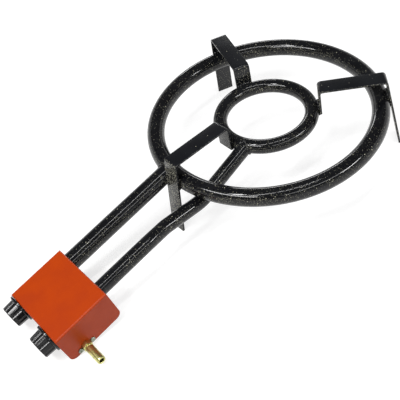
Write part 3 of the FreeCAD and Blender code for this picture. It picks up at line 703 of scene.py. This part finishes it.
@dataclass
class TubeRing:
    """A closed ring of tube with a row of burner ports in its upper outer side."""

    node: str
    ports: int
    steps_per_port: int
    sides: int
    port_angle: float = math.radians(62)
    port_margin: float = 0.42 * MM
    port_depth: float = 1.8 * MM
    port_corner: float = 0.45 * MM

    def mesh(self) -> bmesh.types.BMesh:
        """Spins the tube and sinks the ports.

        Returns:
            The ring's mesh.
        """
        ring_radius, tube_radius = ring_sizes(self.node)
        mesh = bmesh.new()
        upright = Matrix.Translation((ring_radius, 0, 0)) @ Matrix.Rotation(math.pi / 2, 4, "X")
        stand = upright @ Matrix.Rotation(math.pi / self.sides, 4, "Z")
        section = bmesh.ops.create_circle(
            mesh, segments=self.sides, radius=tube_radius, matrix=stand,
        )["verts"]
        full_turn(mesh, section + edges_of(section), self.ports * self.steps_per_port)
        self._sink_ports(mesh, ring_radius)
        return mesh

    def _sink_ports(self, mesh: bmesh.types.BMesh, ring_radius: float) -> None:
        """Insets and deepens one face for each port.

        Args:
            mesh: The ring's mesh.
            ring_radius: Radius of its centre line.
        """
        row = round(self.port_angle / (FULL_TURN / self.sides)) * FULL_TURN / self.sides
        half = math.pi / self.sides
        step = FULL_TURN / (self.ports * self.steps_per_port)
        chosen = []
        for face in mesh.faces:
            middle = face.calc_center_median()
            lift = math.atan2(middle.z, middle.xy.length - ring_radius)
            index = math.floor((math.atan2(middle.y, middle.x) % FULL_TURN) / step)
            if abs(lift - row) < half and index % self.steps_per_port == 0:
                chosen.append(face)
        bmesh.ops.inset_individual(mesh, faces=chosen, thickness=self.port_margin)
        sunk = bmesh.ops.extrude_discrete_faces(mesh, faces=chosen)["faces"]
        for face in sunk:
            bmesh.ops.translate(mesh, vec=-face.normal * self.port_depth, verts=face.verts)
        floor_verts = dict.fromkeys(vert for face in sunk for vert in face.verts)
        floor_edges = {edge for face in sunk for edge in face.edges}
        walls = [edge for vert in floor_verts for edge in vert.link_edges if edge not in floor_edges]
        soften(mesh, walls, self.port_corner, 2)

    def build(self, shop: Workshop) -> None:
        """Makes the ring in place of its node."""
        shop.piece(self.node + "_ported", self.mesh(), shop.palette.tube, "burner", [self.node])


@dataclass
class PanSupport:
    """A flat bar, bent down to a short leg on the inner ring and a splayed long leg past the outer ring."""

    side: str
    inner_edge: float = 77.0 * MM
    ring_radius: float = 162.2 * MM
    leg_gap: float = 13.0 * MM
    splay: float = math.radians(8)
    width: float = 25.0 * MM
    thickness: float = 3.0 * MM
    bend_radius: float = 6.0 * MM
    top: float = 37.5 * MM
    short_end: float = -3.0 * MM
    foot: float = -78.5 * MM
    rounding: float = 0.55 * MM
    bend_steps: int = 10

    def direction(self, shop: Workshop) -> float:
        """Angle of the support about Z, from the place of its pan rest."""
        rest = shop.mount("rest_" + self.side)
        return math.atan2(rest.y, rest.x)

    def leg_face(self, height: float) -> float:
        """How far out the inner face of the long leg stands at a height."""
        return self.ring_radius + self.leg_gap / math.cos(self.splay) - height * math.tan(self.splay)

    def mesh(self, angle: float) -> bmesh.types.BMesh:
        """Pushes and bends the bar's section from the short end to the foot.

        Args:
            angle: Direction of the support about Z.

        Returns:
            The bar's mesh.
        """
        mesh = bmesh.new()
        sweep = Sweep.plate(mesh, self.width, self.thickness, self.rounding)
        sweep.shift(Vector((self.inner_edge + self.thickness / 2, 0, self.short_end)))
        bend_height = self.top - self.bend_radius
        near = self.inner_edge + self.bend_radius
        inset = (self.thickness - self.bend_radius) / math.cos(self.splay)
        far = self.leg_face(bend_height) + inset
        down = Vector((math.sin(self.splay), 0, -math.cos(self.splay)))
        sweep.push(Vector((0, 0, bend_height - self.short_end)))
        sweep.bend(Vector((near, 0, bend_height)), Vector((0, 1, 0)), math.pi / 2, self.bend_steps)
        sweep.push(Vector((far - near, 0, 0)))
        turn = math.pi / 2 - self.splay
        sweep.bend(Vector((far, 0, bend_height)), Vector((0, 1, 0)), turn, self.bend_steps)
        sweep.push(down * (bend_height - self.foot + self.bend_radius))
        whole = list(mesh.verts) + list(mesh.edges) + list(mesh.faces)
        foot = Vector((0, 0, self.foot))
        bmesh.ops.bisect_plane(mesh, geom=whole, plane_co=foot, plane_no=(0, 0, -1), clear_outer=True)
        sweep.close()
        bmesh.ops.transform(mesh, matrix=Matrix.Rotation(angle, 4, "Z"), verts=mesh.verts)
        return mesh

    def build(self, shop: Workshop) -> None:
        """Makes the bar in place of its node."""
        node = "pan_support_" + self.side
        mesh = self.mesh(self.direction(shop))
        shop.piece(node + "_bar", mesh, shop.palette.bar, "burner", [node])


@dataclass
class WeldRun:
    """Drops of weld metal laid one over the next, melted into one bead."""

    name: str
    drop_radius: float
    swell: float = 0.12
    rhythm: float = 2.4
    grain: float = 0.42 * MM
    drops: list[Vector] = field(default_factory=list)

    def lay(self, points: Sequence[Vector]) -> None:
        """Adds drops at points."""
        self.drops.extend(points)

    def build(self, shop: Workshop, node: str) -> None:
        """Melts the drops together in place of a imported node.

        Args:
            shop: The workshop that keeps the bead.
            node: The node that it replaces.
        """
        mesh = bmesh.new()
        for count, drop in enumerate(self.drops):
            radius = self.drop_radius * (1.0 + self.swell * math.sin(self.rhythm * count))
            bmesh.ops.create_icosphere(mesh, subdivisions=2, radius=radius, matrix=Matrix.Translation(drop))
        made = shop.piece(self.name, mesh, shop.palette.weld, "burner", [node])
        melt = made.modifiers.new("Melt", "REMESH")
        melt.mode = "VOXEL"
        melt.voxel_size = self.grain
        melt.use_smooth_shade = True


@dataclass
class FeedJoint:
    """Where a straight tube ends on a ring of tube."""

    ring_radius: float
    tube_radius: float
    start: Vector
    outward: Vector
    drops: int = 44
    halvings: int = 24

    def path(self) -> list[Vector]:
        """Points round the joint, on the surface of both tubes.

        Returns:
            One point for each drop of weld.
        """
        across = self.outward.cross(Vector((0, 0, 1))).normalized()
        upward = across.cross(self.outward).normalized()
        points = []
        for count in range(self.drops):
            angle = FULL_TURN * count / self.drops
            rim = self.start + (across * math.cos(angle) + upward * math.sin(angle)) * self.tube_radius
            points.append(self._meet(rim))
        return points

    def _meet(self, rim: Vector) -> Vector:
        """Halves a span along the tube until it meets the ring's surface.

        Args:
            rim: Where the span starts, inside the ring's tube.

        Returns:
            The point on the surface of both.
        """
        inside, outside = 0.0, 3.0 * self.tube_radius
        for _ in range(self.halvings):
            middle = (inside + outside) / 2
            point = rim + self.outward * middle
            gap = math.hypot(point.xy.length - self.ring_radius, point.z) - self.tube_radius
            if gap < 0:
                inside = middle
            else:
                outside = middle
        return rim + self.outward * outside


@dataclass
class Welding:
    """All weld beads of the burner."""

    supports: list[PanSupport]
    bead_radius: float = 2.3 * MM
    joint_radius: float = 2.1 * MM
    bead_span: float = 19.0 * MM
    bead_drops: int = 9
    notch: float = math.radians(34)
    inner_drops: int = 36
    tack_spread: float = 6.5 * MM
    tack_drop: float = 0.8 * MM
    crossing_x: float = 33.5 * MM
    inner_entry_x: float = 24.8 * MM
    inner_run: Vector = field(default_factory=lambda: Vector((33.5, -160.0, -25.2)) * MM)

    def _leg_bead(self, angle: float, reach: float, height: float) -> list[Vector]:
        """Drops along the width of a leg.

        Args:
            angle: Direction of the support about Z.
            reach: How far out the bead lies.
            height: Its height.

        Returns:
            One point for each drop of weld.
        """
        spin = Matrix.Rotation(angle, 3, "Z")
        share = [count / (self.bead_drops - 1) - 0.5 for count in range(self.bead_drops)]
        return [spin @ Vector((reach, self.bead_span * part, height)) for part in share]

    def outer(self, shop: Workshop) -> None:
        """Welds on the outer ring.

        Args:
            shop: The workshop that keeps the beads.
        """
        ring_radius, tube_radius = ring_sizes("outer_ring")
        run = WeldRun("outer_ring_beads", self.bead_radius)
        for support in self.supports:
            for sign in (1, -1):
                height = tube_radius * math.sin(support.splay + sign * self.notch)
                reach = support.leg_face(height) - self.bead_radius / 2
                run.lay(self._leg_bead(support.direction(shop), reach, height))
        tap, outward = shop.tap("outer")
        start = Vector((tap.x, -math.sqrt(ring_radius**2 - tap.x**2), 0))
        run.lay(FeedJoint(ring_radius, tube_radius, start, outward).path())
        middle = math.atan2(-math.sqrt(ring_radius**2 - self.crossing_x**2), self.crossing_x)
        for sign in (1, -1):
            angle = middle + sign * self.tack_spread / ring_radius
            low = -tube_radius - self.tack_drop
            run.lay([Vector((math.cos(angle) * ring_radius, math.sin(angle) * ring_radius, low))])
        run.build(shop, "outer_ring_welds")

    def inner(self, shop: Workshop) -> None:
        """Welds on the inner ring.

        Args:
            shop: The workshop that keeps the beads.
        """
        ring_radius, tube_radius = ring_sizes("inner_ring")
        run = WeldRun("inner_ring_beads", self.joint_radius)
        heights = (tube_radius * math.sin(self.notch), self.supports[0].short_end - self.joint_radius / 2)
        for support in self.supports:
            reach = support.inner_edge - self.joint_radius / 2
            for height in heights:
                run.lay(self._leg_bead(support.direction(shop), reach, height))
        start = Vector((self.inner_entry_x, -math.sqrt(ring_radius**2 - self.inner_entry_x**2), 0))
        outward = (self.inner_run - start).normalized()
        run.lay(FeedJoint(ring_radius, tube_radius, start, outward, self.inner_drops).path())
        run.build(shop, "inner_ring_welds")

    def build(self, shop: Workshop) -> None:
        """Makes the beads in place of their two nodes."""
        self.outer(shop)
        self.inner(shop)


@dataclass
class Knob:
    """A fluted knob with a thin skirt and a raised pointer."""

    side: str
    skirt_radius: float = 20.0 * MM
    skirt_height: float = 3.0 * MM
    skirt_reach: float = 0.5 * MM
    grip_radius: float = 17.0 * MM
    end_radius: float = 16.2 * MM
    grip_height: float = 15.5 * MM
    flutes: int = 8
    flute_depth: float = 1.9 * MM
    flute_half: float = math.radians(11.5)
    flatness: float = 0.5 * MM
    edge: float = 0.9 * MM
    sunk: float = 0.4 * MM
    dish: float = 0.9 * MM
    skirt_rim: float = 0.5 * MM
    skirt_lip: float = 0.3 * MM
    around: int = 128
    crease: float = 50.0
    socket_radius: float = 11.8 * MM
    socket_depth: float = 5.0 * MM
    pointer_width: float = 1.8 * MM
    pointer_height: float = 1.3 * MM
    pointer_inset: float = 4.0 * MM

    def place(self, shop: Workshop) -> Matrix:
        """The knob's frame: Z out along its axis, X to the right.

        Args:
            shop: The workshop, which knows the taps.

        Returns:
            The frame, on the joint's place.
        """
        middle, outward = shop.tap(self.side)
        upward = outward.cross(Vector((1, 0, 0)))
        turn = Matrix((Vector((1, 0, 0)), upward, outward)).transposed().to_4x4()
        return Matrix.Translation(middle) @ turn

    def grip(self, place: Matrix) -> bmesh.types.BMesh:
        """Stacks scalloped rings into the grip and dishes its end.

        Args:
            place: The knob's frame.

        Returns:
            The grip's mesh.
        """
        mesh = bmesh.new()
        height = self.skirt_height - self.sunk
        top = self.skirt_height + self.grip_height
        start = Matrix.Translation((0, 0, height))
        ring = bmesh.ops.create_circle(
            mesh, segments=self.around, radius=self.grip_radius, matrix=start,
        )["verts"]
        self._scallop(ring)
        sweep = Sweep(mesh, edges_of(ring))
        taper = self.end_radius / self.grip_radius - 1.0
        # Height and size of each ring, the size as a share of the first one's. The first two lie
        # close to the flank's ends, so that its flutes are shaded straight.
        levels = [
            (height + 0.6 * MM, 1.0 + 0.04 * taper),
            (top - self.edge - 0.3 * MM, 1.0 + 0.98 * taper),
            (top - self.edge, 1.0 + taper),
            (top - 0.45 * self.edge, (self.end_radius - 0.35 * self.edge) / self.grip_radius),
            (top, (self.end_radius - self.edge) / self.grip_radius),
            (top, 0.7),
            (top - self.dish, 0.64),
            (top - self.dish, 0.2),
        ]
        scale = 1.0
        for level, size in levels:
            sweep.push(Vector((0, 0, level - height)))
            bmesh.ops.scale(mesh, vec=(size / scale, size / scale, 1.0), verts=sweep.corners())
            height, scale = level, size
        bmesh.ops.edgeloop_fill(mesh, edges=[edge for edge in mesh.edges if len(edge.link_faces) < 2])
        bmesh.ops.transform(mesh, matrix=place, verts=mesh.verts)
        return mesh

    def _scallop(self, ring: Sequence[bmesh.types.BMVert]) -> None:
        """Draws a ring in at each flute and flattens the crests between them.

        Args:
            ring: Its vertices, about Z.
        """
        shore = math.sin(self.flutes * self.flute_half / 2)
        for vert in ring:
            angle = math.atan2(vert.co.y, vert.co.x)
            crest = abs(math.sin(self.flutes * angle / 2))
            dip = self.flute_depth * max(0.0, 1.0 - (crest / shore) ** 2) + self.flatness * crest**2
            scale = 1 - dip / self.grip_radius
            vert.co.x *= scale
            vert.co.y *= scale

    def skirt(self, place: Matrix) -> bmesh.types.BMesh:
        """Turns the skirt with its rounded rim and the hollow behind it.

        Args:
            place: The knob's frame.

        Returns:
            The skirt's mesh.
        """
        mesh = bmesh.new()
        profile = [
            (0.0, self.socket_depth),
            (self.socket_radius, self.socket_depth),
            (self.socket_radius, -self.skirt_reach),
            (self.skirt_radius - self.skirt_lip, -self.skirt_reach),
            (self.skirt_radius, self.skirt_lip - self.skirt_reach),
            (self.skirt_radius, self.skirt_height - 2 * self.skirt_rim),
            (self.skirt_radius - self.skirt_rim, self.skirt_height - self.skirt_rim),
            (self.grip_radius + 0.6 * MM, self.skirt_height),
            (0.0, self.skirt_height + 3.0 * MM),
        ]
        lathe(mesh, profile, 96, place)
        return mesh

    def pointer(self, place: Matrix) -> bmesh.types.BMesh:
        """Raises a narrow bar from the middle of the end to its edge.

        Args:
            place: The knob's frame.

        Returns:
            The pointer's mesh.
        """
        mesh = bmesh.new()
        middle = self.skirt_height + self.grip_height - 0.75 * MM
        length = self.end_radius - self.pointer_inset
        block = bmesh.ops.create_cube(mesh, size=1.0)["verts"]
        bmesh.ops.scale(mesh, vec=(self.pointer_width, length, self.pointer_height), verts=block)
        bmesh.ops.translate(mesh, vec=(0, length / 2, middle), verts=block)
        soften(mesh, list(mesh.edges), 0.35 * MM, 2)
        bmesh.ops.transform(mesh, matrix=place, verts=mesh.verts)
        return mesh

    def build(self, shop: Workshop) -> None:
        """Makes the knob in place of its node.

        Args:
            shop: The workshop that keeps it.
        """
        place = self.place(shop)
        body = self.side + "_tap"
        node = "knob_" + self.side
        black = shop.palette.knob
        shop.piece(node + "_grip", self.grip(place), black, body, [node], self.crease)
        shop.piece(node + "_skirt", self.skirt(place), black, body)
        shop.piece(node + "_pointer", self.pointer(place), black, body)


@dataclass
class HoseNozzle:
    """The brass hose nozzle: a chamfered hexagon and a turned barrel that tapers a little."""

    flats: float = 12.6 * MM
    hexagon: float = 7.0 * MM
    barrel_radius: float = 5.8 * MM
    root_radius: float = 5.3 * MM
    mouth_radius: float = 5.5 * MM
    bore_radius: float = 3.4 * MM
    sunk: float = 0.4 * MM
    head_gap: float = 0.2 * MM
    collar: float = 1.4 * MM
    chamfer: float = 0.3 * MM
    groove_depth: float = 0.25 * MM
    waist: float = 0.15 * MM
    nose: float = 3.0 * MM
    lip: float = 0.25 * MM
    rounding: float = 0.8 * MM
    flare: float = 0.5 * MM
    flare_depth: float = 0.6 * MM
    corner_chamfer: float = 0.7 * MM

    def place(self, shop: Workshop) -> tuple[Matrix, float]:
        """The nozzle's frame on the box's wall, with Z to the right, and the nozzle's length.

        Args:
            shop: The workshop, which knows the mounts.

        Returns:
            The frame and the length.
        """
        inlet = shop.mount("hose_inlet")
        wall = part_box("control_box")[1].x
        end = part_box("hose_nozzle")[1].x
        seat = Matrix.Translation((wall, inlet.y, inlet.z))
        return seat @ Matrix.Rotation(math.pi / 2, 4, "Y"), end - wall

    def head(self, place: Matrix) -> bmesh.types.BMesh:
        """The hexagon with its corners turned down.

        Args:
            place: The nozzle's frame.

        Returns:
            The hexagon's mesh.
        """
        mesh = bmesh.new()
        corner = self.flats / 2 / math.cos(math.pi / 6)
        stand = Matrix.Translation((0, 0, self.hexagon / 2)) @ Matrix.Rotation(math.pi / 6, 4, "Z")
        bmesh.ops.create_cone(
            mesh, cap_ends=True, segments=6, radius1=corner, radius2=corner, depth=self.hexagon, matrix=stand,
        )
        ends = [edge for edge in mesh.edges if abs(edge.verts[0].co.z - edge.verts[1].co.z) < 1e-6]
        soften(mesh, ends, self.corner_chamfer, 2)
        bmesh.ops.transform(mesh, matrix=place, verts=mesh.verts)
        return mesh

    def barrel(self, place: Matrix, length: float) -> bmesh.types.BMesh:
        """The barrel from the hexagon to the mouth and back down its bore.

        Args:
            place: The nozzle's frame.
            length: Length of the nozzle from the box's wall.

        Returns:
            The barrel's mesh.
        """
        mesh = bmesh.new()
        face = self.hexagon + self.head_gap
        collar = self.hexagon + self.collar
        groove = self.barrel_radius - self.groove_depth
        profile = [
            (self.bore_radius, self.sunk),
            (self.root_radius, self.sunk),
            (self.root_radius, face),
            (self.barrel_radius - self.chamfer, face),
            (self.barrel_radius, face + self.chamfer),
            (self.barrel_radius, collar),
            (groove, collar + self.chamfer),
            (groove, collar + 3 * self.chamfer),
            (self.barrel_radius, collar + 4 * self.chamfer),
            (self.barrel_radius - self.waist, length / 2),
            (self.mouth_radius + self.lip, length - self.nose),
            (self.mouth_radius, length - self.rounding),
            (self.mouth_radius - self.lip, length - self.lip),
            (self.mouth_radius - self.rounding, length),
            (self.bore_radius + self.flare, length),
            (self.bore_radius, length - self.flare_depth),
            (self.bore_radius, self.hexagon),
            (self.bore_radius, self.sunk),
        ]
        lathe(mesh, profile, 64, place)
        return mesh

    def build(self, shop: Workshop) -> None:
        """Makes the nozzle in place of its node.

        Args:
            shop: The workshop that keeps it.
        """
        place, length = self.place(shop)
        brass = shop.palette.brass
        shop.piece("nozzle_hexagon", self.head(place), brass, "burner", ["hose_nozzle"])
        shop.piece("nozzle_barrel", self.barrel(place, length), brass, "burner")


@dataclass
class InletScrews:
    """The two pan-head screws beside the nozzle, with a crossed recess."""

    head_radius: float = 3.8 * MM
    head_height: float = 2.2 * MM
    spacing: float = 19.6 * MM
    drop: float = 2.5 * MM
    twist: float = 0.5
    sunk: float = 0.2 * MM
    recess: float = 0.45
    cross_reach: float = 0.5
    cross_top: float = 0.95

    def build(self, shop: Workshop) -> None:
        """Makes both screws in place of their node.

        Args:
            shop: The workshop that keeps them.
        """
        place = HoseNozzle().place(shop)[0]
        outward = shop.tap("outer")[1]
        upward = outward.cross(Vector((1, 0, 0)))
        local = place.to_3x3().inverted()
        mesh = bmesh.new()
        for sign in (-1, 1):
            offset = local @ (outward * (sign * self.spacing / 2) - upward * self.drop)
            seat = place @ Matrix.Translation(offset)
            self._head(mesh, seat @ Matrix.Rotation(self.twist * sign, 4, "Z"))
        shop.piece("inlet_screw_heads", mesh, shop.palette.zinc, "burner", ["inlet_screws"])

    def _head(self, mesh: bmesh.types.BMesh, seat: Matrix) -> None:
        """One domed head whose four quarters leave a cross between them.

        Args:
            mesh: The mesh to draw in.
            seat: Where the head sits.
        """
        wide, high = self.head_radius, self.head_height
        profile = [
            (0.0, -self.sunk),
            (wide, -self.sunk),
            (wide, 0.5 * high),
            (0.86 * wide, 0.82 * high),
            (0.6 * wide, high),
            (self.recess * wide, high),
            (0.12 * wide, 0.35 * high),
            (0.0, 0.3 * high),
        ]
        verts = lathe(mesh, profile, 40, Matrix.Identity(4))
        for vert in verts:
            radius = vert.co.xy.length
            if vert.co.z > 0.2 * high and radius < self.cross_reach * wide:
                arm = abs(math.cos(2 * math.atan2(vert.co.y, vert.co.x))) ** 3
                lift = (1 - arm) * (self.cross_top * high - vert.co.z)
                vert.co.z += lift * min(1.0, 3 * radius / wide)
        bmesh.ops.transform(mesh, matrix=seat, verts=verts)


@dataclass
class CarriedNodes:
    """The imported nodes: all get a finish, and most keep their own shape."""

    def dress(self, shop: Workshop, frame: dict[str, Any]) -> None:
        """Gives each node the material of its slot.

        Args:
            shop: The workshop with its palette.
        """
        for part in shop.record["subparts"]:
            node = frame["nodes"][part["node"]]
            material = shop.palette.for_slot(Slot(part["material_slot"]))
            if not node.data.materials:
                node.data.materials.append(material)
            for slot in node.material_slots:
                slot.material = material
            LOG.info("%s is dressed in %s", part["node"], material.name)


@dataclass(frozen=True)
class Lamp:
    """A soft rectangular lamp: its place, what it faces and its size in metres, and its watts."""

    name: str
    place: tuple[float, float, float]
    target: tuple[float, float, float]
    size: tuple[float, float]
    power: float

    def hang(self) -> None:
        """Adds the lamp to the scene."""
        data = bpy.data.lights.new(self.name, "AREA")
        data.shape = "RECTANGLE"
        data.size, data.size_y = self.size
        data.energy = self.power
        lamp = bpy.data.objects.new(self.name, data)
        lamp.location = self.place
        aim = Vector(self.target) - Vector(self.place)
        lamp.rotation_euler = aim.to_track_quat("-Z", "Y").to_euler()
        bpy.context.scene.collection.objects.link(lamp)


MIDDLE = (0.0, -0.1, 0.0)
LAMPS = (
    Lamp("handle_side", (0.1, -1.3, 1.45), MIDDLE, (1.3, 0.2), 19.5),
    Lamp("knob_side", (-0.02, -0.86, 1.75), (-0.02, -0.4, 0.0), (0.2, 0.36), 8.0),
    Lamp("ring_side", (1.34, 0.77, 1.04), MIDDLE, (0.6, 0.1), 7.5),
    Lamp("nozzle_side", (1.45, 0.0, 1.15), (0.0, 0.0, 0.0), (2.0, 0.12), 7.0),
    Lamp("overhead", (0.34, -0.3, 1.8), (0.0, -0.3, 0.0), (1.5, 0.08), 9.5),
    Lamp("far_side", (-1.5, 0.95, 0.5), MIDDLE, (0.7, 0.15), 3.6),
)
PHOTO_TURN = (46.262, 10.475, 49.051)


@dataclass
class Studio:
    """Floor, lamps, world and camera."""

    eye: Vector = field(default_factory=lambda: Vector((673.588, -534.017, 728.293)) * MM)
    aim: Euler = field(default_factory=lambda: Euler([math.radians(turn) for turn in PHOTO_TURN]))
    focal_pixels: float = 775.921
    frame_pixels: float = 400.0
    sensor: float = 36.0
    shift_y: float = -0.0895
    floor_gap: float = 0.2 * MM
    floor_reach: float = 8.0
    floor_sides: int = 64
    backdrop_height: float = 2.6
    backdrop_bends: int = 6
    floor_tone: float = 0.42
    tone_change: float = 0.01
    floor_lift: float = 0.73
    world_light: float = 0.14

    def camera(self) -> None:
        """Sets the camera at the photograph's place."""
        data = bpy.data.cameras.new("camera")
        data.sensor_width = self.sensor
        data.lens = self.focal_pixels / self.frame_pixels * self.sensor
        data.shift_y = self.shift_y
        data.clip_end = 50.0
        camera = bpy.data.objects.new("camera", data)
        camera.location = self.eye
        camera.rotation_euler = self.aim
        bpy.context.scene.collection.objects.link(camera)
        bpy.context.scene.camera = camera

    def floor(self) -> None:
        """Lays a pale floor under the feet that keeps their shadow and runs up into a backdrop."""
        mesh = bmesh.new()
        disc = bmesh.ops.create_circle(
            mesh, cap_ends=True, segments=self.floor_sides, radius=self.floor_reach,
        )["verts"]
        rim = edges_of(disc)
        Sweep(mesh, rim).push(Vector((0, 0, self.backdrop_height)))
        soften(mesh, rim, self.backdrop_height / 2, self.backdrop_bends)
        bmesh.ops.recalc_face_normals(mesh, faces=mesh.faces)
        bmesh.ops.reverse_faces(mesh, faces=[face for face in mesh.faces if face.normal.z < -0.01])
        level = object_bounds()[0][2] - self.floor_gap
        bmesh.ops.translate(mesh, vec=(0, 0, level), verts=mesh.verts)
        data = bpy.data.meshes.new("floor")
        mesh.to_mesh(data)
        mesh.free()
        floor = bpy.data.objects.new("floor", data)
        bpy.context.scene.collection.objects.link(floor)
        paint = Paint("floor_paper", {"Roughness": 0.9, "Emission Strength": 1.0})
        tone = paint.noise(0.4, 1.0).fade(0.0, 1.0)
        shades = [(self.floor_tone - self.tone_change,) * 3, (self.floor_tone + self.tone_change,) * 3]
        paint.feed(Base_Color=paint.mix(tone, *shades))
        path = paint.node("ShaderNodeLightPath", {}, {})
        seen = path.out("Is Camera Ray") + path.out("Is Glossy Ray") + path.out("Is Transmission Ray")
        paint.feed(Emission_Color=paint.mix(seen * self.floor_lift, (0.0, 0.0, 0.0), (1.0, 1.0, 1.0)))
        data.materials.append(paint.material)
        floor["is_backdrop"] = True

    def world(self) -> None:
        """Fills the room with dim light."""
        world = bpy.data.worlds.new("room")
        world.use_nodes = True
        wiring = Wiring(world.node_tree)
        inputs = {"Color": (1.0, 1.0, 1.0, 1.0), "Strength": self.world_light}
        light = wiring.node("ShaderNodeBackground", {}, inputs).out("Background")
        wiring.node("ShaderNodeOutputWorld", {}, {"Surface": light})
        bpy.context.scene.world = world

    def build(self) -> None:
        """Sets up the whole studio."""
        self.camera()
        self.floor()
        self.world()
        for lamp in LAMPS:
            lamp.hang()
        bpy.context.scene.view_settings.view_transform = "Standard"


def build_burner(frame: dict[str, Any]) -> Workshop:
    """Builds and dresses every piece of the burner.


    Returns:
        The workshop with its pieces.
    """
    shop = Workshop(frame["record"], Palette.mixed())
    CarriedNodes().dress(shop, frame)
    supports = [PanSupport(side) for side in ("front", "left", "right")]
    assemblies = [
        TubeRing("outer_ring", ports=100, steps_per_port=4, sides=32),
        TubeRing("inner_ring", ports=60, steps_per_port=3, sides=28),
        *supports,
        Welding(supports),
        Knob("outer"),
        Knob("inner"),
        HoseNozzle(),
        InletScrews(),
    ]
    for assembly in assemblies:
        assembly.build(shop)
    return shop


def main() -> None:
    """Loads the frame, builds the burner and sets the studio."""
    logging.basicConfig(level=logging.INFO, format="%(name)s %(message)s")
    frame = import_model()
    shop = build_burner(frame)
    Studio().build()
    LOG.info("%d new pieces", len(shop.made))


if __name__ == "__main__":
    main()
